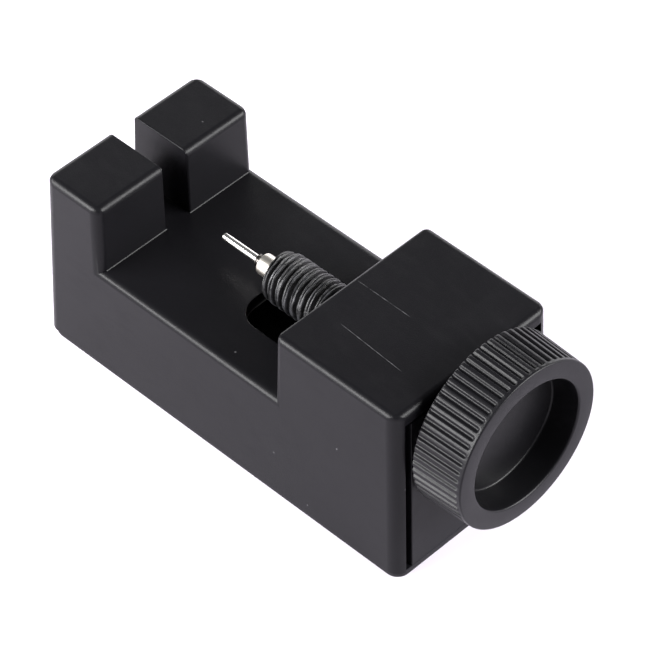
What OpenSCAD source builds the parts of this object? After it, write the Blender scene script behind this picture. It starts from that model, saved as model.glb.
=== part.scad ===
// Watch bracelet pin press: a plastic body with two slotted jaws, a flat bed and a raised block.
// A thumb knob drives a coarse screw through the block, and its steel pin pushes a link pin out.
// Every x below is measured from the jaw end; the drawing is shifted so the origin is at the base centre.

/* [Body] */
// Length of the shell along the screw, at its lower edge
body_len = 62.1; // [58:0.1:76]
// Width of the shell at its lower edge
body_w = 27; // [25:0.1:34]
// Height of the jaw tops
jaw_top = 27.7; // [24:0.1:34]
// Height of the block top
block_top = 28; // [27.5:0.1:35]
// Height of the bed that the bracelet lies on
bed_top = 17.25; // [14.5:0.05:18.5]
// Length of the jaws from the end of the body
jaw_len = 11; // [9:0.1:14]
// Length of the block that holds the screw
block_len = 20.85; // [19.5:0.05:22]
// Width of the slot between the jaws
slot_w = 4; // [2.5:0.1:6]
// Thickness of the upright walls
wall = 1.5; // [1.2:0.1:2]
// Thickness of the bed and of the tops
deck = 1.8; // [1.2:0.1:2.4]
// Radius of the upright corners
corner_r = 1.75; // [0.5:0.05:2.5]
// Radius of the top edges
edge_r = 0.9; // [0.3:0.05:1.2]

/* [Relief under the screw] */
// Width of the opening in the bed
relief_w = 12.8; // [10:0.1:14]
// How far the opening reaches from the block
relief_len = 13.65; // [11:0.05:16]
// Radius of the opening's corners
relief_r = 3.5; // [0.5:0.1:4]

/* [Base] */
// Thickness of the rim of the base plate
base_t = 1.1; // [0.9:0.1:1.5]
// How far the rim stands in from the shell
base_inset = 0.3; // [0.1:0.05:0.6]
// Height of the step that locates the base in the shell
step_t = 1.1; // [0.8:0.1:2]
// Clearance of that step all round
step_fit = 0.25; // [0.1:0.05:0.5]
// Thickness of the end plate
end_t = 2; // [1.5:0.1:2.5]
// Gap over the end plate
end_gap = 0.75; // [0.3:0.05:1]
// Gap at each side of the end plate
side_gap = 1.25; // [0.5:0.05:1.8]

/* [Base screws] */
// Thread diameter of the base screws
tapping_d = 2.2; // [1.8:0.1:2.6]
// Length of the base screws
tapping_len = 8; // [6:0.5:10]
// Head diameter of the base screws
tapping_head_d = 4; // [3.4:0.1:4.4]
// Distance of the front screws from the jaw end
front_screw_x = 15.2; // [14.5:0.1:18]
// Distance of the rear screws from the rear end
rear_screw_x = 6.6; // [6:0.1:8]

/* [Thrust screw] */
// Height of the screw's centre line
axis_z = 20.3; // [19:0.1:21.5]
// Outside diameter of the screw thread
screw_d = 7.1; // [6.8:0.05:8]
// Pitch of the screw thread
pitch = 1.25; // [1:0.05:1.5]
// Depth of the screw thread
thread_depth = 0.75; // [0.5:0.05:0.85]
// How far the screw stands out of the block towards the jaws
screw_reach = 12.35; // [8:0.05:13]
// Radius of the screw's end face
lead_r = 3.1; // [2.4:0.05:3.2]
// Length of the screw's lead-in taper
lead_len = 1.5; // [1:0.1:4]
// Radial running clearance of the thread
thread_fit = 0.05; // [0.02:0.01:0.1]

/* [Threaded insert] */
// Outside diameter of the insert
insert_d = 11; // [10:0.1:11.5]
// Length of the insert
insert_len = 10; // [7:0.5:11]
// Wall of the boss round the insert
boss_wall = 1.4; // [1.2:0.1:2]
// Clearance of the screw in plain holes, on the diameter
hole_fit = 0.8; // [0.4:0.1:1.2]

/* [Push pin] */
// Diameter of the push pin
pin_d = 1; // [0.7:0.05:1.2]
// Free length of the push pin
pin_len = 5.95; // [4:0.05:6.5]
// Diameter of the pin's shank
shank_d = 1.6; // [1.4:0.05:2]
// How far the shank shows in front of the ferrule
shank_show = 0.8; // [0.3:0.1:1]
// Diameter of the ferrule
ferrule_d = 2.9; // [2.8:0.05:3.2]
// Free length of the ferrule
ferrule_len = 2.75; // [2:0.05:4.5]
// Depth of the ferrule in the screw
ferrule_seat = 3; // [2.5:0.1:4]
// Diameter of the pin's head inside the ferrule
pin_head_d = 2.3; // [2.2:0.05:2.4]
// Thickness of that head
pin_head_t = 0.8; // [0.5:0.1:1.2]

/* [Knob] */
// Diameter of the knob over its ridges
knob_d = 23.8; // [20:0.1:26]
// Length of the knob
knob_len = 7.5; // [7:0.1:12]
// Gap between the knob and the end plate
knob_gap = 1; // [0.8:0.05:3]
// Number of ridges
ridge_count = 62; // [40:2:72]
// Depth of the ridges
ridge_depth = 0.45; // [0.2:0.05:0.7]
// How much narrower the knob is at its front
knob_taper = 0.3; // [0:0.05:0.5]
// Width of the smooth ring at the front
ring_len = 0.5; // [0.4:0.1:1.5]
// Diameter of the cup in the knob
cup_d = 17.9; // [12:0.1:19]
// Depth of the cup in the knob
cup_depth = 3.85; // [2:0.05:4.7]
// Width across the flats of the screw's head
head_af = 10; // [9:0.1:11]
// Thickness of the screw's head inside the knob
head_t = 2.3; // [1.5:0.1:2.5]

/* [Hidden] */
$fn = 64;
eps = 0.01;
past = 1; // how far a cut runs past the face it opens
arc_steps = 5; // flats on each rounded corner

// draft of the moulding, as the slope of each face
side_slope = 0.0157;
nose_slope = 0.056;
front_slope = 0.035;
rear_slope = 0.017;

block_x = body_len - block_len;
screw_tip_x = block_x - screw_reach;
end_x = body_len - base_inset;
knob_x = end_x + knob_gap;
front_x = knob_x + knob_len;
floor_x = front_x - cup_depth;
head_x = knob_x;
ferrule_x = screw_tip_x - ferrule_len;
shank_x = ferrule_x - shank_show;
tip_x = shank_x - pin_len;
socket_x = screw_tip_x + ferrule_seat;
head_play = 0.05; // end play of the pin's head
insert_x = block_x + wall;
boss_d = insert_d + 2 * boss_wall;
hole_d = screw_d + hole_fit;
base_top = base_t + step_t;
post_d = tapping_d + 2.8;
post_y = body_w / 2 - wall - post_d / 2 + 0.6;
screw_spots = [for (x = [front_screw_x, body_len - rear_screw_x], s = [-1, 1]) [x, s * post_y]];
centre_shift = [-front_x / 2, 0, 0];

function unit(v) = v / norm(v);

// Points of the arc that rounds corner p, between its neighbours a and b
function corner_arc(a, p, b, r) =
    r <= 0 ? [p] :
    let (u = unit(a - p),
         v = unit(b - p),
         half = acos(u * v) / 2,
         c = p + unit(u + v) * r / sin(half),
         s = p + u * r / tan(half) - c,
         e = p + v * r / tan(half) - c,
         a0 = atan2(s.y, s.x),
         turn = (atan2(e.y, e.x) - a0 + 540) % 360 - 180)
    [for (i = [0:arc_steps]) c + r * [cos(a0 + turn * i / arc_steps), sin(a0 + turn * i / arc_steps)]];

// Outline with each corner rounded to its own radius
function rounded(pts, radii) =
    let (n = len(pts))
    [for (i = [0:n - 1]) each corner_arc(pts[(i + n - 1) % n], pts[i], pts[(i + 1) % n], radii[i])];

// Half-width of the shell at height z
function half_w(z) = body_w / 2 - side_slope * (z - base_t);

// Draws in the x-z plane and extrudes across the body
module across(width) {
    rotate([90, 0, 0])
        linear_extrude(height = width, center = true)
            children();
}

// Draws in the y-z plane and extrudes along the body from x = from to x = to
module along(from, to) {
    translate([from, 0, 0])
        rotate([90, 0, 90])
            linear_extrude(height = to - from)
                children();
}

// Turns a shape drawn up +Z so that it points along +X from x, on the screw's centre line
module on_axis(x) {
    translate([x, 0, axis_z])
        rotate([0, 90, 0])
            children();
}

// Cross-section of the shell up to height top, set in by inset, with rounded top edges
module section(top, inset, r, bottom = base_t) {
    low = half_w(bottom) - inset;
    high = half_w(top) - inset;
    polygon(rounded([[-low, bottom], [low, bottom], [high, top], [-high, top]], [0, 0, r, r]));
}

// One full-height block of the shell from x0 to x1, with its leaning ends and rounded corners
module tapered_block(x0, x1, top, lean0, lean1, r0, r1, edge0, edge1) {
    rise = top - base_t;
    intersection() {
        across(body_w + 2)
            polygon(rounded([[x0, base_t], [x0 + lean0 * rise, top], [x1 - lean1 * rise, top], [x1, base_t]],
                            [0, edge0, edge1, 0]));
        along(x0 - 1, x1 + 1)
            section(top, 0, edge_r);
        linear_extrude(height = top + 1)
            polygon(rounded([[x0, -body_w / 2], [x1, -body_w / 2], [x1, body_w / 2], [x0, body_w / 2]],
                            [r0, r1, r1, r0]));
    }
}

// Hollow of the shell, open at the bottom and at the rear
module shell_hollow() {
    intersection() {
        across(body_w)
            polygon([[wall + nose_slope * (bed_top - base_t), -past], [body_len + past, -past],
                     [body_len + past, block_top - deck], [insert_x, block_top - deck],
                     [insert_x, bed_top - deck], [jaw_len - wall, bed_top - deck],
                     [jaw_len - wall, jaw_top - deck],
                     [wall + nose_slope * (jaw_top - base_t), jaw_top - deck]]);
        along(-past, body_len + 2 * past)
            section(max(jaw_top, block_top), wall, 0, -2 * past);
    }
}

module outer_shell() {
    color([0.11, 0.11, 0.12])
    difference() {
        union() {
            difference() {
                union() {
                    tapered_block(jaw_len / 2, block_x + wall, bed_top, 0, 0, 0, 0, 0, 0);
                    tapered_block(0, jaw_len, jaw_top, nose_slope, 0, corner_r, corner_r * 0.8, edge_r, edge_r);
                    tapered_block(block_x - front_slope * (bed_top - base_t), body_len, block_top,
                                  front_slope, rear_slope, 0, corner_r, 0, edge_r);
                }
                shell_hollow();
            }
            // walls that close the jaws along their slot
            translate([wall, -slot_w / 2 - wall, bed_top - deck])
                cube([jaw_len - 2 * wall + eps, slot_w + 2 * wall, jaw_top - bed_top]);
            // boss round the insert
            on_axis(block_x + wall / 2)
                cylinder(h = wall / 2 + insert_len, d = boss_d);
            // posts for the base screws
            intersection() {
                for (spot = screw_spots)
                    translate([spot.x, spot.y, base_top])
                        cylinder(h = block_top, d = post_d);
                across(body_w - wall)
                    polygon([[jaw_len, base_t], [body_len - 1, base_t], [body_len - 1, block_top - deck / 2],
                             [insert_x, block_top - deck / 2], [insert_x, bed_top - deck / 2],
                             [jaw_len, bed_top - deck / 2]]);
            }
        }
        // slot between the jaws
        translate([-past, -slot_w / 2, bed_top])
            cube([jaw_len + 2 * past, slot_w, jaw_top]);
        // opening in the bed that clears the screw
        translate([0, 0, bed_top - deck - past])
            linear_extrude(height = deck + 2 * past)
                polygon(rounded([[block_x - relief_len, -relief_w / 2], [block_x, -relief_w / 2],
                                 [block_x, relief_w / 2], [block_x - relief_len, relief_w / 2]],
                                [relief_r, 0, 0, relief_r]));
        // screw hole through the block's front wall, and the insert's bore behind it
        on_axis(block_x - past)
            cylinder(h = wall + 2 * past, d = hole_d);
        on_axis(insert_x)
            cylinder(h = insert_len + past, d = insert_d);
        // pilot holes in the posts
        for (spot = screw_spots)
            translate([spot.x, spot.y, base_top - past])
                cylinder(h = tapping_len + past, d = tapping_d - 0.4);
    }
}

// Base plate and end plate, one L-shaped moulding
module base_plate() {
    half = body_w / 2 - base_inset;
    step_half = half_w(base_top) - wall - step_fit;
    step_x = wall + nose_slope * bed_top + step_fit;
    color([0.13, 0.13, 0.14])
    difference() {
        union() {
            linear_extrude(height = base_t)
                polygon(rounded([[base_inset, -half], [end_x, -half], [end_x, half], [base_inset, half]],
                                [corner_r, corner_r, corner_r, corner_r]));
            translate([step_x, -step_half, base_t / 2])
                cube([end_x - end_t - step_x + eps, 2 * step_half, base_top - base_t / 2]);
            intersection() {
                along(end_x - end_t, end_x)
                    section(block_top - deck - end_gap, wall + side_gap, 0.4, base_t / 2);
                across(body_w)
                    polygon([[0, 0], [end_x, 0], [end_x - rear_slope * block_top, block_top], [0, block_top]]);
            }
        }
        on_axis(end_x - end_t - past)
            cylinder(h = end_t + 2 * past, d = hole_d);
        for (spot = screw_spots)
            translate([spot.x, spot.y, 0])
                countersink();
    }
}

// Hole for one base screw, with a countersunk seat
module countersink() {
    translate([0, 0, -past])
        cylinder(h = base_top + 2 * past, d = tapping_d + 0.3);
    translate([0, 0, -eps])
        cylinder(h = (tapping_head_d - tapping_d) / 2 + 0.2, d1 = tapping_head_d + 0.4, d2 = tapping_d);
}

module base_screws() {
    head_h = (tapping_head_d - tapping_d) / 2;
    color([0.6, 0.6, 0.62])
    for (spot = screw_spots)
        translate([spot.x, spot.y, 0.1])
            difference() {
                union() {
                    cylinder(h = tapping_len - 1, d = tapping_d);
                    cylinder(h = head_h, d1 = tapping_head_d, d2 = tapping_d);
                    translate([0, 0, tapping_len - 1 - eps])
                        cylinder(h = 1, d1 = tapping_d, d2 = 0.5);
                }
                // cross recess
                for (turn = [0, 90])
                    rotate([0, 0, turn])
                        translate([-tapping_head_d * 0.3, -0.25, -past])
                            cube([tapping_head_d * 0.6, 0.5, past + 0.7]);
            }
}

// Threaded brass insert, with three gripping bands
module thread_insert() {
    bands = 3;
    groove = 0.6;
    color([0.72, 0.58, 0.3])
    difference() {
        on_axis(insert_x)
            cylinder(h = insert_len, d = insert_d);
        on_axis(insert_x - past)
            cylinder(h = insert_len + 2 * past, d = screw_d + 2 * thread_fit);
        for (i = [1:bands - 1])
            on_axis(insert_x + insert_len * i / bands - groove / 2)
                difference() {
                    cylinder(h = groove, d = insert_d + 1);
                    cylinder(h = groove, d = insert_d - 1);
                }
    }
}

// Thrust screw with ring-shaped thread grooves and a hexagonal head that is moulded into the knob
module thrust_screw() {
    reach = head_x - screw_tip_x;
    crest = screw_d / 2;
    root = crest - thread_depth;
    turns = floor((reach - pitch) / pitch);
    // crest radius at distance s behind the end face
    function crest_r(s) = s >= lead_len ? crest : lead_r + (crest - lead_r) * s / lead_len;
    profile = [[0, 0], [lead_r, 0],
               for (i = [0:turns - 1])
                   let (s = (i + 0.5) * pitch)
                   each [[crest_r(s - pitch * 0.42), s - pitch * 0.42],
                         [crest_r(s - pitch * 0.3), s - pitch * 0.3],
                         [min(root, lead_r - 0.3), s + pitch * 0.08],
                         [min(root, lead_r - 0.3), s + pitch * 0.2]],
               [crest, turns * pitch + pitch * 0.1], [crest, reach], [0, reach]];
    color([0.09, 0.09, 0.1])
    difference() {
        union() {
            on_axis(screw_tip_x)
                rotate_extrude()
                    polygon(profile);
            on_axis(head_x)
                cylinder(h = head_t, d = head_af / cos(30), $fn = 6);
        }
        on_axis(screw_tip_x - past)
            cylinder(h = ferrule_seat + past, d = ferrule_d);
    }
}

// Knob with straight ridges, a smooth front ring and a deep cup
module thumb_knob() {
    rear_r = knob_d / 2;
    front_r = rear_r - knob_taper;
    step = 360 / ridge_count;
    edge = 0.25;
    grip = [for (i = [0:ridge_count - 1])
                let (a = i * step)
                each [for (p = [[0, 0], [0.2, 1], [0.55, 1], [0.75, 0]])
                          let (r = rear_r - ridge_depth * (1 - p[1]))
                          r * [cos(a + p[0] * step), sin(a + p[0] * step)]]];
    color([0.12, 0.12, 0.13])
    difference() {
        union() {
            intersection() {
                on_axis(knob_x)
                    linear_extrude(height = knob_len - ring_len)
                        polygon(grip);
                on_axis(knob_x)
                    rotate_extrude()
                        polygon([[0, 0], [rear_r - 0.3, 0], [rear_r, 0.3], [front_r, knob_len], [0, knob_len]]);
            }
            on_axis(front_x - ring_len - eps)
                rotate_extrude()
                    polygon([[0, 0], [front_r, 0], [front_r, ring_len - edge],
                             [front_r - edge * 0.3, ring_len - edge * 0.3],
                             [front_r - edge, ring_len], [0, ring_len]]);
        }
        on_axis(floor_x)
            cylinder(h = cup_depth + eps, d1 = cup_d - 0.9, d2 = cup_d);
        on_axis(head_x - past)
            cylinder(h = past + eps, d = screw_d);
        on_axis(head_x - eps)
            cylinder(h = head_t + eps, d = head_af / cos(30), $fn = 6);
    }
}

// Nickel-plated ferrule, seated in the end of the screw; the pin's head turns in its counterbore
module pin_ferrule() {
    head_back = socket_x - head_play;
    color([0.78, 0.76, 0.72])
    difference() {
        on_axis(ferrule_x)
            cylinder(h = socket_x - ferrule_x, d = ferrule_d);
        on_axis(ferrule_x - past)
            cylinder(h = socket_x - ferrule_x + 2 * past, d = shank_d + 2 * thread_fit);
        on_axis(head_back - pin_head_t - head_play)
            cylinder(h = pin_head_t + 2 * head_play + past, d = pin_head_d + 2 * thread_fit);
    }
}

// Steel push pin: a thin working end on a thicker shank, with a captive head
module push_pin() {
    head_back = socket_x - head_play;
    nose = 0.2;
    color([0.82, 0.8, 0.76])
    on_axis(tip_x)
        rotate_extrude()
            polygon([[0, 0], [pin_d / 2 - nose, 0], [pin_d / 2, nose], [pin_d / 2, pin_len],
                     [shank_d / 2 - 0.15, pin_len], [shank_d / 2, pin_len + 0.15],
                     [shank_d / 2, head_back - pin_head_t - tip_x],
                     [pin_head_d / 2, head_back - pin_head_t - tip_x],
                     [pin_head_d / 2, head_back - tip_x], [0, head_back - tip_x]]);
}

translate(centre_shift) {
    outer_shell();
    base_plate();
    base_screws();
    thread_insert();
    thrust_screw();
    thumb_knob();
    pin_ferrule();
    push_pin();
}
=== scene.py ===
import bpy
import bmesh
import math
from mathutils import Matrix, Vector, noise


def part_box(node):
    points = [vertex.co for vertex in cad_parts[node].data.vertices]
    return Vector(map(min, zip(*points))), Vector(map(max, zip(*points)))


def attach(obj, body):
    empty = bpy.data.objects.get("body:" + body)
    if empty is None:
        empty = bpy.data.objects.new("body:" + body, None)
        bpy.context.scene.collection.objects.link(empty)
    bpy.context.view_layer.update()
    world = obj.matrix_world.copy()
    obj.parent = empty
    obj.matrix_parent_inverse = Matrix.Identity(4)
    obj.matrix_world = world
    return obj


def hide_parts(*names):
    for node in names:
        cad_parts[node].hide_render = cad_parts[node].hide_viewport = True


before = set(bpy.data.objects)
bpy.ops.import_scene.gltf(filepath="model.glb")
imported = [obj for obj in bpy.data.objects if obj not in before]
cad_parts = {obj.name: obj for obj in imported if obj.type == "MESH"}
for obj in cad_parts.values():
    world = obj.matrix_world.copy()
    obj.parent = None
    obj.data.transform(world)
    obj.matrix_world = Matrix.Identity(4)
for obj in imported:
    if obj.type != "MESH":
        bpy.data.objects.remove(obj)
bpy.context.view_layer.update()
mm = 0.001  # every size below is in millimetres and is multiplied by this


# sizes of the thrust screw, which the finishes use as well
screwSpec = dict(axisZ=20.3, crestR=3.55, rootR=2.82, pitch=1.25, tipR=3.15, leadLen=1.3, seamDepth=0.3)


# ---- shader sums

class Wire:
    # a node socket; a sum or product on it adds the Math node
    def __init__(self, tree, socket=None):
        self.tree = tree
        self.socket = socket

    def node(self, kind, settings=(), inputs=(), out=0):
        made = self.tree.nodes.new("ShaderNode" + kind)
        for name, value in dict(settings).items():
            if name == "stops":
                ramp = made.color_ramp.elements
                while len(ramp) < len(value):
                    ramp.new(1.0)
                for stop, (place, shade) in zip(ramp, value):
                    stop.position = place
                    stop.color = (shade, shade, shade, 1.0)
            else:
                setattr(made, name, value)
        for key, value in dict(inputs).items():
            if isinstance(value, Wire):
                self.tree.links.new(value.socket, made.inputs[key])
            else:
                made.inputs[key].default_value = value
        return Wire(self.tree, made.outputs[out])

    def math(self, operation, *values):
        return self.node("Math", {"operation": operation}, enumerate(values))

    def __add__(self, other):
        return self.math("ADD", self, other)

    def __radd__(self, other):
        return self.math("ADD", other, self)

    def __sub__(self, other):
        return self.math("SUBTRACT", self, other)

    def __rsub__(self, other):
        return self.math("SUBTRACT", other, self)

    def __mul__(self, other):
        return self.math("MULTIPLY", self, other)

    def __rmul__(self, other):
        return self.math("MULTIPLY", other, self)

    def __truediv__(self, other):
        return self.math("DIVIDE", self, other)


def place(wire):
    return wire.node("TexCoord", out=3)  # object coordinates, in metres


def grain(wire, perMm, detail=2.0, rough=0.5, stretch=(1, 1, 1)):
    spot = wire.node("VectorMath", {"operation": "MULTIPLY"}, {0: place(wire), 1: stretch})
    return wire.node("TexNoise", {}, {"Vector": spot, "Scale": perMm / mm, "Detail": detail,
                                      "Roughness": rough})


def ramp(wire, value, low, high):
    # 0 below low, 1 above high
    return wire.node("MapRange", {"clamp": True}, {"Value": value, "From Min": low, "From Max": high})


def blend(wire, mask, first, second):
    # mixes two colours
    return wire.node("Mix", {"data_type": "RGBA"}, {0: mask, 6: first, 7: second}, out=2)


def rgb(r, g, b):
    return (r, g, b, 1.0)


def startFinish(name):
    finish = bpy.data.materials.new(name)
    finish.use_nodes = True
    tree = finish.node_tree
    bsdf = tree.nodes["Principled BSDF"]
    return finish, Wire(tree), bsdf


def feed(wire, bsdf, values):
    for key, value in values.items():
        if isinstance(value, Wire):
            wire.tree.links.new(value.socket, bsdf.inputs[key])
        else:
            bsdf.inputs[key].default_value = value


def bump(wire, height, depthMm, strength=1.0, under=None):
    links = {"Height": height, "Distance": depthMm * mm, "Strength": strength}
    if under is not None:
        links["Normal"] = under
    return wire.node("Bump", {}, links)


def split(wire):
    # object coordinates in millimetres, one wire each
    xyz = wire.node("SeparateXYZ", {}, {0: place(wire)})
    return [Wire(wire.tree, socket) / mm for socket in xyz.socket.node.outputs]


def hairline(wire, start, end, halfWidth):
    # mask of a thin straight scratch between two points of the plan, in millimetres
    along = Vector(end) - Vector(start)
    length = along.length
    u = along / length
    x, y, z = split(wire)
    x = x - start[0]
    y = y - start[1]
    run = x * u.x + y * u.y
    off = wire.math("ABSOLUTE", y * u.x - x * u.y)
    thin = 1 - ramp(wire, off, halfWidth * 0.5, halfWidth * 1.6)
    inside = ramp(wire, run, 0.0, 0.8) * (1 - ramp(wire, run, length - 0.8, length))
    return thin * inside * ramp(wire, z, 27.5, 27.6)


def dust(wire, perMm, share):
    # sparse pale specks
    cells = wire.node("TexVoronoi", {"feature": "F1"}, {"Vector": place(wire), "Scale": perMm / mm})
    pick = wire.node("TexWhiteNoise", {"noise_dimensions": "3D"},
                     {"Vector": Wire(wire.tree, cells.socket.node.outputs[2])})
    return (1 - ramp(wire, cells, 0.05, 0.09)) * ramp(wire, pick, 1 - share, 1 - share * 0.9)


def plasticFinish(name, dark, pale, gloss, grainDepth, ior, scratches=(), patches=()):
    # satin black moulded plastic: mould grain, handling smudges, specks and hairline scratches
    finish, wire, bsdf = startFinish(name)
    cloud = grain(wire, 0.05, 3.0)
    smudge = ramp(wire, grain(wire, 0.16, 4.0, 0.6), 0.45, 0.7)
    fine = grain(wire, 5.5, 3.0, 0.65)
    colour = blend(wire, cloud, dark, pale)
    for patch in patches:
        mask, shade = patch(wire)
        colour = blend(wire, mask, colour, shade)
    specks = dust(wire, 0.55, 0.03)
    marks = specks * 0.4
    for start, end, width in scratches:
        marks = marks + hairline(wire, start, end, width) * ramp(wire, grain(wire, 0.9, 3.0, 0.7), 0.35, 0.8)
    marks = wire.math("MINIMUM", marks, 1.0)
    colour = blend(wire, marks, colour, rgb(0.24, 0.24, 0.25))
    rub = grain(wire, 0.9, 3.0, 0.6, (0.25, 1.0, 1.0))
    rough = gloss + 0.05 * smudge + 0.06 * ramp(wire, rub, 0.5, 0.75) + 0.25 * marks
    wave = bump(wire, grain(wire, 0.09, 1.0), 0.05, 0.5)
    normal = bump(wire, fine, grainDepth, 0.6, wave)
    feed(wire, bsdf, {"Base Color": colour, "Roughness": rough, "Normal": normal, "IOR": ior})
    return finish


def insidePaintedLight(wire):
    # the unpolished inside of the shell is painted a mottled pale grey: painted light, standing in for light
    # reaching the shaded inside
    x, y, z = split(wire)
    inside = (1 - ramp(wire, z, 15.6, 15.9)) * (1 - ramp(wire, wire.math("ABSOLUTE", y), 11.6, 11.8))
    inside = inside * ramp(wire, z, 1.2, 1.4) * ramp(wire, x, -33.5, -33.3) * (1 - ramp(wire, x, 22.5, 22.9))
    return inside * ramp(wire, grain(wire, 0.5, 3.0), 0.1, 0.8), rgb(0.09, 0.088, 0.086)


def cupPaintedShade(wire):
    # the cup of the knob is painted darker: painted shade in the recess
    x, y, z = split(wire)
    z = z - screwSpec["axisZ"]
    inside = 1 - ramp(wire, wire.math("SQRT", y * y + z * z), 8.9, 9.0)
    return inside * ramp(wire, x, 30.0, 30.2), rgb(0.003, 0.0029, 0.0035)


shellPlastic = plasticFinish(
    "shellPlastic", rgb(0.004, 0.0038, 0.0047), rgb(0.006, 0.0058, 0.007), 0.32, 0.03, 1.23,
    scratches=(((10.5, -6.17), (21.3, -6.84), 0.022), ((7.0, 0.36), (15.9, 0.29), 0.02)),
    patches=(insidePaintedLight,))
basePlastic = plasticFinish(
    "basePlastic", rgb(0.005, 0.0048, 0.006), rgb(0.0075, 0.0072, 0.009), 0.36, 0.03, 1.22,
    patches=(insidePaintedLight,))
knobPlastic = plasticFinish(
    "knobPlastic", rgb(0.0045, 0.0043, 0.0053), rgb(0.007, 0.0067, 0.0082), 0.34, 0.03, 1.26,
    patches=(cupPaintedShade,))


def threadFinish():
    # blackened thread: pitted, with the crests rubbed paler
    finish, wire, bsdf = startFinish("blackThread")
    x, y, z = split(wire)
    z = z - screwSpec["axisZ"]
    crest = ramp(wire, wire.math("SQRT", y * y + z * z), screwSpec["rootR"] + 0.35, screwSpec["crestR"])
    pits = grain(wire, 4.6, 4.0, 0.65, (0.7, 1.0, 1.0))
    worn = crest * ramp(wire, grain(wire, 0.8, 4.0, 0.7, (2.5, 1.0, 1.0)), 0.45, 0.65)
    colour = blend(wire, worn, rgb(0.0035, 0.0035, 0.004), rgb(0.06, 0.06, 0.066))
    rough = 0.3 + 0.2 * pits - 0.06 * worn
    feed(wire, bsdf, {"Base Color": colour, "Roughness": rough, "Metallic": 0.3 * worn,
                      "Normal": bump(wire, pits, 0.09, 0.9), "IOR": 1.5})
    return finish


def turnedMetal(name, colour, shade, roughLow, lineMm, lineDepth):
    # lathe-turned metal: fine rings round the X axis and a faint tarnish
    finish, wire, bsdf = startFinish(name)
    rings = grain(wire, 1.0 / lineMm, 2.0, 0.6, (1.0, 0.02, 0.02))
    tarnish = ramp(wire, grain(wire, 0.9, 4.0, 0.6), 0.5, 0.8)
    feed(wire, bsdf, {"Base Color": blend(wire, tarnish, colour, shade),
                      "Roughness": roughLow * (1 + 0.4 * rings) + 0.1 * tarnish,
                      "Metallic": 1.0, "Normal": bump(wire, rings, lineDepth, 0.7)})
    return finish


blackThread = threadFinish()
nickel = turnedMetal("nickelPlate", rgb(0.72, 0.68, 0.62), rgb(0.5, 0.46, 0.41), 0.28, 0.09, 0.012)
pinSteel = turnedMetal("pinSteel", rgb(0.86, 0.84, 0.81), rgb(0.66, 0.63, 0.59), 0.14, 0.12, 0.0006)
darkSteel = turnedMetal("darkSteel", rgb(0.10, 0.095, 0.09), rgb(0.05, 0.048, 0.045), 0.25, 0.1, 0.01)
brass = turnedMetal("turnedBrass", rgb(0.72, 0.53, 0.25), rgb(0.45, 0.32, 0.15), 0.26, 0.12, 0.01)


def zincFinish():
    # bright zinc plate with a grey bloom
    finish, wire, bsdf = startFinish("zincPlate")
    bloom = grain(wire, 1.4, 4.0, 0.6)
    feed(wire, bsdf, {"Base Color": blend(wire, bloom, rgb(0.62, 0.63, 0.66), rgb(0.42, 0.43, 0.46)),
                      "Roughness": 0.28 + 0.25 * bloom, "Metallic": 1.0,
                      "Normal": bump(wire, grain(wire, 5.0, 2.0), 0.01, 0.5)})
    return finish


zinc = zincFinish()


# ---- mesh helpers

def meshObject(name, bm, finish):
    bmesh.ops.recalc_face_normals(bm, faces=bm.faces)
    mesh = bpy.data.meshes.new(name)
    bm.to_mesh(mesh)
    bm.free()
    thing = bpy.data.objects.new(name, mesh)
    bpy.context.collection.objects.link(thing)
    if finish is not None:
        mesh.materials.append(finish)
    return thing


def settle(thing):
    # applies the modifiers, so that the mesh is final
    graph = bpy.context.evaluated_depsgraph_get()
    mesh = bpy.data.meshes.new_from_object(thing.evaluated_get(graph))
    thing.modifiers.clear()
    thing.data = mesh


def cut(thing, tool, operation="DIFFERENCE"):
    step = thing.modifiers.new("cut", "BOOLEAN")
    step.operation = operation
    step.solver = "EXACT"
    step.object = tool
    settle(thing)
    bpy.data.objects.remove(tool)


def smoothBig(thing, angle=35.0):
    # smooth shading, with large flat faces kept flat and edges sharper than the angle kept sharp
    bm = bmesh.new()
    bm.from_mesh(thing.data)
    bmesh.ops.remove_doubles(bm, verts=bm.verts, dist=0.002 * mm)
    bmesh.ops.dissolve_degenerate(bm, edges=bm.edges, dist=0.001 * mm)
    for face in bm.faces:
        face.smooth = True
    for edge in bm.edges:
        edge.smooth = len(edge.link_faces) == 2 and edge.calc_face_angle(0.0) < math.radians(angle)
    bm.to_mesh(thing.data)
    bm.free()
    step = thing.modifiers.new("flat", "WEIGHTED_NORMAL")
    step.keep_sharp = True
    step.weight = 80
    settle(thing)


def polySolid(name, corners, faces, finish=None):
    bm = bmesh.new()
    spots = [bm.verts.new(Vector(c) * mm) for c in corners]
    for face in faces:
        bm.faces.new([spots[i] for i in face])
    return meshObject(name, bm, finish)


def prism(name, outline, lift):
    # closed prism: outline is a list of 3-D points, lift gives the far copy of each
    n = len(outline)
    corners = list(outline) + [lift(p) for p in outline]
    faces = [list(range(n)), list(range(2 * n - 1, n - 1, -1))]
    faces += [[i, (i + 1) % n, n + (i + 1) % n, n + i] for i in range(n)]
    return polySolid(name, corners, faces)


def boxSolid(name, low, high):
    outline = [(low[0], low[1], low[2]), (high[0], low[1], low[2]),
               (high[0], high[1], low[2]), (low[0], high[1], low[2])]
    return prism(name, outline, lambda p: (p[0], p[1], high[2]))


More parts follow.
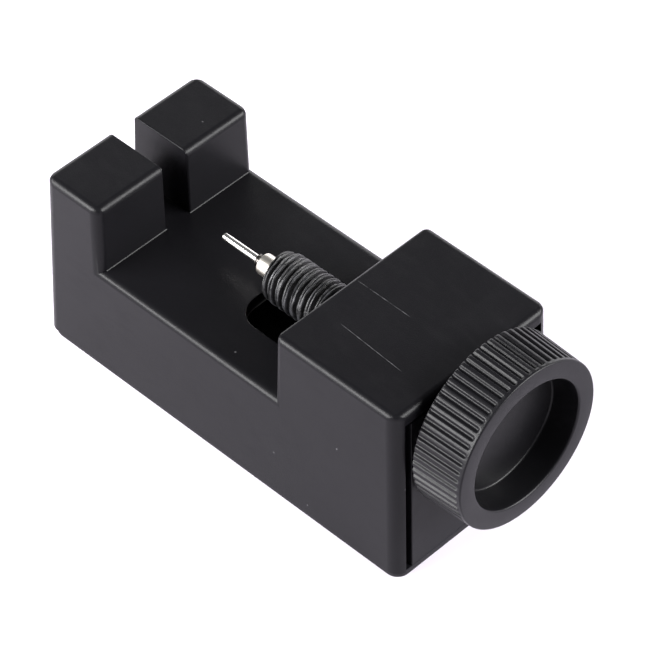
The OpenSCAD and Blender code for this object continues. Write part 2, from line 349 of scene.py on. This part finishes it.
def lathe(name, stations, finish=None, steps=96, axis="X", centre=(0, 0, 0)):
    # turned solid; stations are (distance along the axis, radius), and a radius of 0 closes it
    bm = bmesh.new()
    rows = []
    for along, radius in stations:
        count = 1 if radius == 0 else steps
        row = []
        for i in range(count):
            a = 2 * math.pi * i / steps
            p = (along, radius * math.cos(a), radius * math.sin(a))
            if axis == "Z":
                p = (p[1], p[2], p[0])
            row.append(bm.verts.new((Vector(p) + Vector(centre)) * mm))
        rows.append(row)
    for low, high in zip(rows, rows[1:]):
        for i in range(steps):
            j = (i + 1) % steps
            loop = [low[i % len(low)], low[j % len(low)], high[j % len(high)], high[i % len(high)]]
            bm.faces.new(list(dict.fromkeys(loop)))
    return meshObject(name, bm, finish)


def roundStations(corner, fromPoint, toPoint, radius, steps=5):
    # stations of a rounded corner in a turned outline
    c = Vector(corner)
    u = (Vector(fromPoint) - c).normalized()
    v = (Vector(toPoint) - c).normalized()
    half = u.angle(v) / 2
    middle = c + (u + v).normalized() * radius / math.sin(half)
    start = c + u * radius / math.tan(half) - middle
    end = c + v * radius / math.tan(half) - middle
    turn = start.angle_signed(end)
    return [tuple(middle + Matrix.Rotation(-turn * k / steps, 2) @ start) for k in range(steps + 1)]


def outlineStations(points, radii, steps=5):
    # turned outline with each inner corner rounded
    stations = [tuple(points[0])]
    for i in range(1, len(points) - 1):
        if radii[i] > 0:
            stations += roundStations(points[i], points[i - 1], points[i + 1], radii[i], steps)
        else:
            stations.append(tuple(points[i]))
    stations.append(tuple(points[-1]))
    return stations


def trim(bm, spot, normal):
    # cuts the mesh off at a plane and closes it
    where = bm.verts[:] + bm.edges[:] + bm.faces[:]
    found = bmesh.ops.bisect_plane(bm, geom=where, plane_co=spot, plane_no=normal, clear_outer=True)
    rim = [e for e in found["geom_cut"] if isinstance(e, bmesh.types.BMEdge)]
    bmesh.ops.holes_fill(bm, edges=rim)


# ---- outer shell

shellLow, shellHigh = [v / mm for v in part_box("outer_shell")]
shellSpec = dict(
    jawTop=27.7, bedTop=17.25, jawLen=11.0, blockLen=20.85, slot=4.0, wall=1.5, deck=1.8,
    sideSlope=0.0157, noseSlope=0.05, frontSlope=0.035, rearSlope=0.017,
    uprightR=1.75, jawUprightR=1.55, frontUprightR=1.1, rearUprightR=1.9, topR=0.95, jawTopR=1.0,
    slotR=0.32, slotNoseR=0.5, frontTopR=0.5, crispR=0.2, skirt=3.0, seamLeg=0.09,
    reliefWidth=12.8, reliefLen=13.65, reliefR=3.5, reliefEdge=0.18,
    boss=13.8, insertR=5.5, insertLen=10.0, postR=2.5, screwHole=7.9)


def halfWidth(z):
    return shellHigh.y - 0.002 - shellSpec["sideSlope"] * (z - shellLow.z)


def shellBody():
    s = shellSpec
    x0, x1 = shellLow.x, shellHigh.x
    zb, zj, zd, zk = shellLow.z, s["jawTop"], s["bedTop"], shellHigh.z
    blockX = x1 - s["blockLen"]
    g = s["slot"] / 2
    drop = s["skirt"]  # the body runs on below the rim and is then cut off flat
    profile = dict(
        a=(x0 - s["noseSlope"] * drop, zb - drop), b=(x0 + s["noseSlope"] * (zj - zb), zj),
        c=(x0 + s["jawLen"], zj),
        d=(x0 + s["jawLen"], zd), e=(blockX, zd), f=(blockX + s["frontSlope"] * (zk - zd), zk),
        g=(x1 - s["rearSlope"] * (zk - zb), zk), h=(x1 + s["rearSlope"] * drop, zb - drop))
    spots = {}
    for key, (x, z) in profile.items():
        for sign, side in ((-1, "-"), (1, "+")):
            spots[key + side] = (x, sign * halfWidth(z), z)
    noseX = x0 + s["noseSlope"] * (zd - zb)
    for sign, side in ((-1, "-"), (1, "+")):
        spots["sb" + side] = (profile["b"][0], sign * g, zj)
        spots["sn" + side] = (noseX, sign * g, zd)
        spots["sc" + side] = (profile["c"][0], sign * g, zj)
        spots["sd" + side] = (profile["d"][0], sign * g, zd)
    faces = ["a- b- c- d- e- f- g- h-", "a+ b+ c+ d+ e+ f+ g+ h+",
             "a- a+ b+ sb+ sn+ sn- sb- b-", "sn- sd- d- e- e+ d+ sd+ sn+",
             "e- f- f+ e+", "f- g- g+ f+", "g- h- h+ g+", "a- h- h+ a+"]
    for side in "-+":
        faces += [f"b{side} c{side} sc{side} sb{side}", f"c{side} d{side} sd{side} sc{side}",
                  f"sb{side} sc{side} sd{side} sn{side}"]
    radii = {}
    for side in "-+":
        radii.update({
            f"a{side} b{side}": s["uprightR"], f"b{side} c{side}": s["jawTopR"],
            f"b{side} sb{side}": s["jawTopR"], f"c{side} sc{side}": s["jawTopR"],
            f"c{side} d{side}": s["jawUprightR"], f"d{side} e{side}": s["topR"],
            f"e{side} f{side}": s["frontUprightR"], f"f{side} g{side}": s["topR"],
            f"g{side} h{side}": s["rearUprightR"], f"sb{side} sc{side}": s["crispR"],
            f"sb{side} sn{side}": s["slotNoseR"], f"sc{side} sd{side}": s["slotR"]})
    radii.update({"f- f+": s["frontTopR"], "g- g+": s["topR"]})
    bm = bmesh.new()
    made = {key: bm.verts.new(Vector(p) * mm) for key, p in spots.items()}
    for face in faces:
        bm.faces.new([made[key] for key in face.split()])
    widest = max(radii.values())
    weight = bm.edges.layers.float.new("bevel_weight_edge")
    for pair, radius in radii.items():
        first, second = pair.split()
        bm.edges.get((made[first], made[second]))[weight] = radius / widest
    shell = meshObject("outerShell", bm, shellPlastic)
    step = shell.modifiers.new("rounding", "BEVEL")
    step.limit_method = "WEIGHT"
    step.width = widest * mm
    step.segments = 6
    step.use_clamp_overlap = True
    settle(shell)
    bm = bmesh.new()
    bm.from_mesh(shell.data)
    trim(bm, (0, 0, zb * mm), (0, 0, -1))
    bm.to_mesh(shell.data)
    bm.free()
    # narrow mould fillets in the inner corners
    leg = s["seamLeg"]
    jawX = profile["c"][0]
    for sign in (-1, 1):
        ys = sorted((sign * g, sign * (halfWidth(zd) - s["topR"])))
        corner = [(jawX - leg, zd + leg), (jawX - leg, zd - leg), (jawX + leg, zd - leg), (jawX + leg, zd),
                  (jawX, zd + leg)]
        outline = [(x, ys[0], z) for x, z in corner]
        cut(shell, prism("fillet", outline, lambda p: (p[0], ys[1], p[2])), "UNION")
    return shell, blockX


def shellHollow(blockX):
    # the space inside the walls, less the boss, the posts and the walls of the slot
    s = shellSpec
    x0, x1 = shellLow.x, shellHigh.x
    zj, zd, zk = s["jawTop"] - s["deck"], s["bedTop"] - s["deck"], shellHigh.z - s["deck"]
    t = s["wall"]
    side = [(x0 + t + s["noseSlope"] * zd, -1), (x1 + 1, -1), (x1 + 1, zk), (blockX + t, zk),
            (blockX + t, zd), (x0 + s["jawLen"] - t, zd), (x0 + s["jawLen"] - t, zj),
            (x0 + t + s["noseSlope"] * zj, zj)]
    outline = [(x, -(halfWidth(z) - t), z) for x, z in side]
    hollow = prism("hollow", outline, lambda p: (p[0], -p[1], p[2]))
    cut(hollow, boxSolid("slotWalls", (x0, -s["slot"] / 2 - t, zd),
                         (x0 + s["jawLen"], s["slot"] / 2 + t, zj + 1)))
    boss = lathe("boss", [(blockX, 0), (blockX, s["boss"] / 2),
                          (blockX + t + s["insertLen"], s["boss"] / 2), (blockX + t + s["insertLen"], 0)],
                 centre=(0, 0, screwSpec["axisZ"]))
    cut(hollow, boss)
    for x, y in screwSpots:
        r = s["postR"]
        cut(hollow, lathe("post", [(baseSpec["stepTop"], 0), (baseSpec["stepTop"], r), (zk + 1, r),
                                   (zk + 1, 0)], axis="Z", steps=48, centre=(x, y, 0)))
    return hollow


def reliefCutter(blockX):
    # rounded opening in the bed, flared at its top edge
    s = shellSpec
    levels = ((s["bedTop"] - s["deck"] - 1, 0), (s["bedTop"] - s["reliefEdge"], 0),
              (s["bedTop"] - s["reliefEdge"] * 0.3, s["reliefEdge"] * 0.3),
              (s["bedTop"] + 0.01, s["reliefEdge"]))
    bm = bmesh.new()
    rings = []
    for z, grow in levels:
        half = s["reliefWidth"] / 2 + grow
        left = blockX - s["reliefLen"] - grow
        r = s["reliefR"] + grow
        ring = [(blockX, -half), (blockX, half)]
        for k in range(9):
            a = math.radians(90 + 90 * k / 8)
            ring.append((left + r + r * math.cos(a), half - r + r * math.sin(a)))
        for k in range(9):
            a = math.radians(180 + 90 * k / 8)
            ring.append((left + r + r * math.cos(a), -half + r + r * math.sin(a)))
        rings.append([bm.verts.new(Vector((x, y, z)) * mm) for x, y in ring])
    for low, high in zip(rings, rings[1:]):
        for i in range(len(low)):
            j = (i + 1) % len(low)
            bm.faces.new([low[i], low[j], high[j], high[i]])
    bm.faces.new(rings[0])
    bm.faces.new(rings[-1])
    return meshObject("relief", bm, None)


baseSpec = dict(rim=1.1, stepTop=2.2, fit=0.25, endThick=2.0, sideGap=1.25, cornerR=1.75,
                edgeR=0.25, hole=7.9, headR=2.0)
screwLow, screwHigh = [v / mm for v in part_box("base_screws")]
headR = baseSpec["headR"]
screwSpots = [(x, y) for x in (screwLow.x + headR, screwHigh.x - headR)
              for y in (screwLow.y + headR, screwHigh.y - headR)]

shell, blockX = shellBody()
print("shell rounded", len(shell.data.polygons))
cut(shell, shellHollow(blockX))
cut(shell, reliefCutter(blockX))
holeR = shellSpec["screwHole"] / 2
seatX = blockX + shellSpec["wall"]
boreEnd = seatX + shellSpec["insertLen"] + 1
cut(shell, lathe("frontHole", [(blockX - 1, 0), (blockX - 1, holeR + 0.4), (blockX + 0.25, holeR + 0.15),
                               (blockX + 0.5, holeR), (seatX + 1, holeR), (seatX + 1, 0)],
                 centre=(0, 0, screwSpec["axisZ"])))
cut(shell, lathe("insertBore", [(seatX, 0), (seatX, shellSpec["insertR"]), (boreEnd, shellSpec["insertR"]),
                                (boreEnd, 0)], centre=(0, 0, screwSpec["axisZ"])))
smoothBig(shell)
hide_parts("outer_shell")
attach(shell, "housing")
print("shell done", len(shell.data.polygons))


# ---- base plate with its end plate

def baseCover():
    b = baseSpec
    low, high = [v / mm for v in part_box("base_plate")]
    half = high.y
    x0, x1 = low.x, high.x
    r = b["cornerR"]
    ring = []
    for cx, cy, start in ((x1 - r, half - r, 0), (x0 + r, half - r, 90), (x0 + r, -half + r, 180),
                          (x1 - r, -half + r, 270)):
        for k in range(9):
            a = math.radians(start + 90 * k / 8)
            ring.append((cx + r * math.cos(a), cy + r * math.sin(a)))
    e = b["edgeR"]
    bm = bmesh.new()
    rings = []
    for z, shrink in ((0, e), (e * 0.3, e * 0.3), (e, 0), (b["rim"] - 0.02, 0)):
        sx = 1 - shrink / ((x1 - x0) / 2)
        sy = 1 - shrink / half
        mid = (x0 + x1) / 2
        rings.append([bm.verts.new(Vector((mid + (x - mid) * sx, y * sy, z)) * mm) for x, y in ring])
    for lower, upper in zip(rings, rings[1:]):
        for i in range(len(lower)):
            j = (i + 1) % len(lower)
            bm.faces.new([lower[i], lower[j], upper[j], upper[i]])
    bm.faces.new(rings[0])
    bm.faces.new(rings[-1])
    cover = meshObject("basePlate", bm, basePlastic)
    # locating step inside the shell
    stepHalf = halfWidth(b["stepTop"]) - shellSpec["wall"] - b["fit"]
    stepX = shellLow.x + shellSpec["wall"] + shellSpec["noseSlope"] * shellSpec["bedTop"] + b["fit"]
    cut(cover, boxSolid("step", (stepX, -stepHalf, 0.5), (x1 - 1, stepHalf, b["stepTop"])), "UNION")
    # upright end plate, tapered like the shell
    top = high.z
    inset = shellSpec["wall"] + b["sideGap"]
    outline = [(x1 - 0.005, -(halfWidth(0.6) - inset), 0.6), (x1 - 0.005, halfWidth(0.6) - inset, 0.6),
               (x1 - shellSpec["rearSlope"] * top, halfWidth(top) - inset, top),
               (x1 - shellSpec["rearSlope"] * top, -(halfWidth(top) - inset), top)]
    plate = prism("endPlate", outline, lambda p: (x1 - b["endThick"], p[1], p[2]))
    step = plate.modifiers.new("rounding", "BEVEL")
    step.width = 0.15 * mm
    step.segments = 3
    settle(plate)
    cut(cover, plate, "UNION")
    cut(cover, lathe("axleHole", [(x1 - 4, 0), (x1 - 4, b["hole"] / 2), (x1 + 1, b["hole"] / 2), (x1 + 1, 0)],
                     centre=(0, 0, screwSpec["axisZ"])))
    for x, y in screwSpots:
        seat = lathe("seat", [(-1, 0), (-1, headR + 0.55), (0.0, headR + 0.25), (0.15, headR + 0.1),
                              (1.05, 1.25), (4, 1.25), (4, 0)], axis="Z", steps=48, centre=(x, y, 0))
        cut(cover, seat)
    return cover


cover = baseCover()
smoothBig(cover)
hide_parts("base_plate")
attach(cover, "housing")
print("base plate done", len(cover.data.polygons))


# ---- base screws

def tappingScrew(index, x, y):
    # countersunk head with a cross recess, threaded shank and a point
    low, high = screwLow.z, screwHigh.z
    core, crest, pitch = 0.8, 1.1, 0.8
    stations = [(low, 0)]
    stations += roundStations((low, headR), (low, 0), (low + 0.9, crest), 0.12)
    z = low + 1.0
    stations.append((z, core))
    while z + pitch < high - 0.7:
        stations += [(z + 0.3, core), (z + 0.45, crest), (z + 0.55, crest), (z + 0.7, core)]
        z += pitch
    stations += [(high - 0.7, core), (high, 0.1), (high, 0)]
    screw = lathe(f"baseScrew{index}", stations, zinc, steps=48, axis="Z", centre=(x, y, 0))
    for spanX, spanY in ((1.15, 0.26), (0.26, 1.15)):
        top = [(x - spanX, y - spanY, low - 0.5), (x + spanX, y - spanY, low - 0.5),
               (x + spanX, y + spanY, low - 0.5), (x - spanX, y + spanY, low - 0.5)]
        arm = prism("arm", top, lambda p: (x + (p[0] - x) * 0.45, y + (p[1] - y) * 0.45, low + 0.85))
        cut(screw, arm)
    return screw


for index, (x, y) in enumerate(screwSpots, 1):
    screw = tappingScrew(index, x, y)
    smoothBig(screw)
    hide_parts("base_screws")
    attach(screw, "housing")
print("base screws done")


# ---- threaded insert

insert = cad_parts["thread_insert"]
insert.data.materials.clear()
insert.data.materials.append(brass)
print("insert finished")


# ---- thrust screw with a real helix

def thrustScrew():
    t = screwSpec
    low, high = [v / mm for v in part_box("thrust_screw")]
    start, end = low.x, high.x - 2.3
    crest, root, pitch, seam = t["crestR"], t["rootR"], t["pitch"], t["seamDepth"]
    # one pitch of the thread: share of the pitch, radius, how rough, how deep in the seam left by rolling
    profile = ((0.00, root, 0, 0), (0.06, root, 0, 0), (0.12, root + 0.15, 0.3, 0),
               (0.20, crest - 0.2, 0.8, 0), (0.26, crest - 0.05, 1, 0), (0.34, crest, 1, 0),
               (0.42, crest - 0.02, 1, 0.1), (0.475, crest, 0.8, 1), (0.535, crest, 0.8, 0.9),
               (0.59, crest - 0.02, 1, 0.1), (0.67, crest, 1, 0), (0.75, crest - 0.05, 1, 0),
               (0.81, crest - 0.2, 0.8, 0), (0.91, root + 0.15, 0.3, 0))
    steps = 72
    turns = int((end - start) / pitch) + 4
    bm = bmesh.new()
    grid = []
    for i in range(turns * steps + 1):
        a = 2 * math.pi * i / steps
        base = start - 1.5 * pitch + pitch * i / steps
        row = []
        # the rolled seam is open on one side of the screw and nearly shut on the other
        seamHere = seam * (0.45 + 0.55 * math.sin(a + 0.35))
        seamHere *= 0.8 + 0.6 * noise.noise(Vector((base * 0.7, a, 3.0)))
        for share, radius, rough, inSeam in profile:
            x = base + share * pitch
            lead = (crest - t["tipR"]) * (1 - min(1.0, max(0.0, x - start) / t["leadLen"]))
            spot = Vector((3 * share + base * 0.8, 2.2 * math.cos(a), 2.2 * math.sin(a)))
            wander = noise.noise(spot * 0.9) * 0.1 + noise.noise(spot * 2.3) * 0.08
            x += rough * noise.noise(spot * 0.7 + Vector((0, 0, 9))) * 0.12
            r = min(crest, radius - lead - inSeam * max(0.0, seamHere) + rough * (wander - 0.03))
            row.append(bm.verts.new(Vector((x, r * math.cos(a), t["axisZ"] + r * math.sin(a))) * mm))
        grid.append(row)
    m = len(profile)
    for i in range(turns * steps):
        for j in range(m - 1):
            bm.faces.new([grid[i][j], grid[i + 1][j], grid[i + 1][j + 1], grid[i][j + 1]])
        k = i + steps
        if k + 1 < len(grid):
            bm.faces.new([grid[i][m - 1], grid[i + 1][m - 1], grid[k + 1][0], grid[k][0]])
    for x, way in ((start, -1), (end, 1)):
        trim(bm, (x * mm, 0, 0), (way, 0, 0))
    screw = meshObject("thrustScrew", bm, blackThread)
    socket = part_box("pin_ferrule")[1].x / mm
    cut(screw, lathe("socket", [(start - 1, 0), (start - 1, 1.7), (start, 1.7), (start + 0.25, 1.45),
                                (socket, 1.45), (socket, 0)], centre=(0, 0, t["axisZ"])))
    return screw


thrust = thrustScrew()
smoothBig(thrust, 60)
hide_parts("thrust_screw")
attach(thrust, "spindle")
print("thread cut", len(thrust.data.polygons))


# ---- thumb knob

knobSpec = dict(ridges=62, ridgeDepth=0.33, taper=0.3, ring=0.45, cupR=8.95, floorR=8.5, cupDepth=3.85,
                lipR=0.3, rimR=0.22, rearR=0.3)


def thumbKnob():
    k = knobSpec
    low, high = [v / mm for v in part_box("thumb_knob")]
    outer = high.y - 0.01
    x0, x1 = low.x, high.x
    fine = 12  # columns in each ridge
    steps = k["ridges"] * fine
    # height of the surface across one ridge, 0 in the valley and 1 on the crest
    wave = [0.0, 0.0, 0.25, 0.8, 0.97, 1.0, 1.0, 1.0, 0.97, 0.8, 0.25, 0.0]
    ringX = x1 - k["ring"]
    stations = []  # (x, crest radius, share of the ridge depth that shows)
    inner = 4.2
    stations += [(x0, inner, 0), (x0, outer - 2.0, 0), (x0, outer - k["rearR"] - k["ridgeDepth"], 0)]
    for n in range(1, 5):
        a = math.radians(90 * n / 4)
        stations.append((x0 + k["rearR"] * (1 - math.cos(a)),
                         outer - k["rearR"] * (1 - math.sin(a)), min(1.0, n / 3)))
    for n in range(1, 9):
        x = x0 + k["rearR"] + (ringX - 0.55 - x0 - k["rearR"]) * n / 8
        stations.append((x, outer - k["taper"] * (x - x0) / (x1 - x0), 1))
    for n in range(1, 6):
        x = ringX - 0.55 + 0.5 * n / 5
        stations.append((x, outer - k["taper"] * (x - x0) / (x1 - x0), math.sqrt(max(0.0, 1 - (n / 5) ** 2))))
    front = outer - k["taper"]
    for n in range(0, 7):
        a = math.radians(90 * n / 6)
        stations.append((x1 - k["rimR"] * (1 - math.sin(a)), front - k["rimR"] * (1 - math.cos(a)), 0))
    stations.append((x1, (front - k["rimR"] + k["cupR"] + k["lipR"]) / 2, 0))
    for n in range(0, 7):
        a = math.radians(90 * n / 6)
        stations.append((x1 - k["lipR"] * (1 - math.cos(a)), k["cupR"] + k["lipR"] * (1 - math.sin(a)), 0))
    floorX = x1 - k["cupDepth"]
    for n in range(1, 6):
        share = n / 6
        stations.append((x1 - k["lipR"] + (floorX + 0.3 - x1 + k["lipR"]) * share,
                         k["cupR"] + (k["floorR"] - k["cupR"]) * share, 0))
    for n in range(0, 5):
        a = math.radians(90 * n / 4)
        stations.append((floorX + 0.3 * (1 - math.sin(a)), k["floorR"] - 0.3 * (1 - math.cos(a)), 0))
    for radius in (7.2, 5.5, 3.5, 1.5, 0):
        stations.append((floorX, radius, 0))
    bm = bmesh.new()
    rows = []
    for x, radius, share in stations:
        row = []
        for i in range(steps if radius > 0 else 1):
            a = 2 * math.pi * (i / steps)
            r = radius - k["ridgeDepth"] * share * (1 - wave[i % fine])
            row.append(bm.verts.new(Vector((x, r * math.cos(a), screwSpec["axisZ"] + r * math.sin(a))) * mm))
        rows.append(row)
    for lower, upper in zip(rows, rows[1:]):
        for i in range(steps):
            j = (i + 1) % steps
            loop = [lower[i], lower[j], upper[j % len(upper)], upper[i % len(upper)]]
            bm.faces.new(list(dict.fromkeys(loop)))
    # the back of the knob closes on the screw
    hub = bm.verts.new(Vector((x0, 0, screwSpec["axisZ"])) * mm)
    for i in range(steps):
        bm.faces.new([rows[0][(i + 1) % steps], rows[0][i], hub])
    return meshObject("thumbKnob", bm, knobPlastic)


knob = thumbKnob()
smoothBig(knob, 75)
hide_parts("thumb_knob")
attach(knob, "spindle")
print("knob done", len(knob.data.polygons))


# ---- ferrule and push pin

def pinFerrule():
    low, high = [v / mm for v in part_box("pin_ferrule")]
    x0, x1 = low.x, high.x
    r, bore = high.y - 0.005, collarSpec["bore"]
    outline = [(x0 + 1.0, bore), (x0 + 0.12, bore), (x0, bore + 0.12), (x0, r), (x1, r), (x1, bore + 0.35),
               (x1 - 1.0, bore + 0.35), (x1 - 1.0, bore), (x0 + 1.0, bore)]
    radii = [0, 0, 0, 0.4, 0.05, 0, 0, 0, 0]
    return lathe("pinFerrule", outlineStations(outline, radii, 5), nickel,
                 centre=(0, 0, screwSpec["axisZ"]), steps=96)


def pushPin():
    # thin polished working end
    low, high = [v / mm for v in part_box("push_pin")]
    outline = [(low.x, 0), (low.x, 0.5), (collarX + 0.4, 0.5), (collarX + 0.4, 0)]
    return lathe("pushPin", outlineStations(outline, [0, 0.14, 0.02, 0], 6), pinSteel,
                 centre=(0, 0, screwSpec["axisZ"]), steps=64)


def pinCollar():
    # dark shank with two turned grooves, and the captive head behind it
    c = collarSpec
    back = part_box("push_pin")[1].x / mm
    r, x = c["shankR"], collarX
    outline = [(x, 0), (x, r - 0.1), (x + 0.1, r), (x + 0.22, r), (x + 0.27, r - 0.1), (x + 0.35, r - 0.1),
               (x + 0.4, r), (x + 0.52, r), (x + 0.57, r - 0.1), (x + 0.65, r - 0.1), (x + 0.7, r),
               (back - 0.8, r), (back - 0.8, c["headR"]), (back, c["headR"]), (back, 0)]
    radii = [0] + [0.03] * (len(outline) - 2) + [0]
    return lathe("pinCollar", outlineStations(outline, radii, 3), darkSteel,
                 centre=(0, 0, screwSpec["axisZ"]), steps=64)


collarSpec = dict(shankR=0.8, bore=0.86, headR=1.15, show=0.8)
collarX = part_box("pin_ferrule")[0].x / mm - collarSpec["show"]
for build, node, slot, body in ((pinFerrule, "pin_ferrule", "nickel", "spindle"),
                                (pushPin, "push_pin", "pin_steel", "pin"),
                                (pinCollar, "push_pin", "pin_steel", "pin")):
    turned = build()
    smoothBig(turned, 40)
    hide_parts(node)
    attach(turned, body)
print("pin and ferrule done")


# ---- floor, light and camera

def studioFloor():
    bm = bmesh.new()
    bmesh.ops.create_grid(bm, x_segments=1, y_segments=1, size=4.0)
    finish, wire, bsdf = startFinish("paleFloor")
    side = ramp(wire, split(wire)[0], -60, 50)  # the floor glows, more strongly at the jaw end: painted light that the side of the shell reflects
    glow = blend(wire, side, rgb(0.97, 0.92, 1.0), rgb(0.47, 0.445, 0.495))
    feed(wire, bsdf, {"Base Color": rgb(0.365, 0.345, 0.385), "Roughness": 0.9, "Specular IOR Level": 0.1,
                      "Emission Color": glow, "Emission Strength": 1.0})
    floor = meshObject("studioFloor", bm, finish)
    floor.location.z = -0.01 * mm


studioSpec = dict(
    lightDistance=0.8, aim=(0, 0, 15 * mm), worldStrength=0.2,
    lights=dict(  # where each stands as seen from the tool, its size in metres and its power in watts
        leftSoftbox=((-0.50, -0.76, 0.36), (0.8, 0.38), 23),
        rightSoftbox=((0.74, 0.50, 0.42), (0.7, 0.42), 18.5),
        backStrip=((-0.62, 0.70, 0.2), (1.15, 0.32), 4.5)))


def softLight(name, direction, size, power):
    lamp = bpy.data.lights.new(name, "AREA")
    lamp.shape = "RECTANGLE"
    lamp.size, lamp.size_y = size
    lamp.energy = power
    thing = bpy.data.objects.new(name, lamp)
    bpy.context.collection.objects.link(thing)
    way = Vector(direction).normalized()
    thing.location = Vector(studioSpec["aim"]) + way * studioSpec["lightDistance"]
    thing.rotation_euler = way.to_track_quat("Z", "Y").to_euler()


studioFloor()
for name, (direction, size, power) in studioSpec["lights"].items():
    softLight(name, direction, size, power)
world = bpy.data.worlds.new("studio")
bpy.context.scene.world = world
world.use_nodes = True
world.node_tree.nodes["Background"].inputs["Color"].default_value = rgb(0.95, 0.97, 1.0)
world.node_tree.nodes["Background"].inputs["Strength"].default_value = studioSpec["worldStrength"]
bpy.context.scene.view_settings.view_transform = "Standard"

cameraSpec = dict(azimuth=-44.18, elevation=45.55, roll=-1.51, distance=476.7, lens=217.7,
                  aim=(0.686, 0.528, 16.224))


def aimCamera():
    c = cameraSpec
    a, e = math.radians(c["azimuth"]), math.radians(c["elevation"])
    back = Vector((math.cos(e) * math.cos(a), math.cos(e) * math.sin(a), math.sin(e)))
    lens = bpy.data.cameras.new("camera")
    lens.lens = c["lens"]
    lens.sensor_width = 36.0
    lens.clip_start = 0.01
    thing = bpy.data.objects.new("camera", lens)
    bpy.context.collection.objects.link(thing)
    right = Vector((0, 0, 1)).cross(back).normalized()
    right = Matrix.Rotation(math.radians(c["roll"]), 3, back) @ right
    up = back.cross(right)
    turn = Matrix((right, up, back)).transposed()
    thing.matrix_world = Matrix.Translation((Vector(c["aim"]) + back * c["distance"]) * mm) @ turn.to_4x4()
    bpy.context.scene.camera = thing


aimCamera()
print("studio ready")
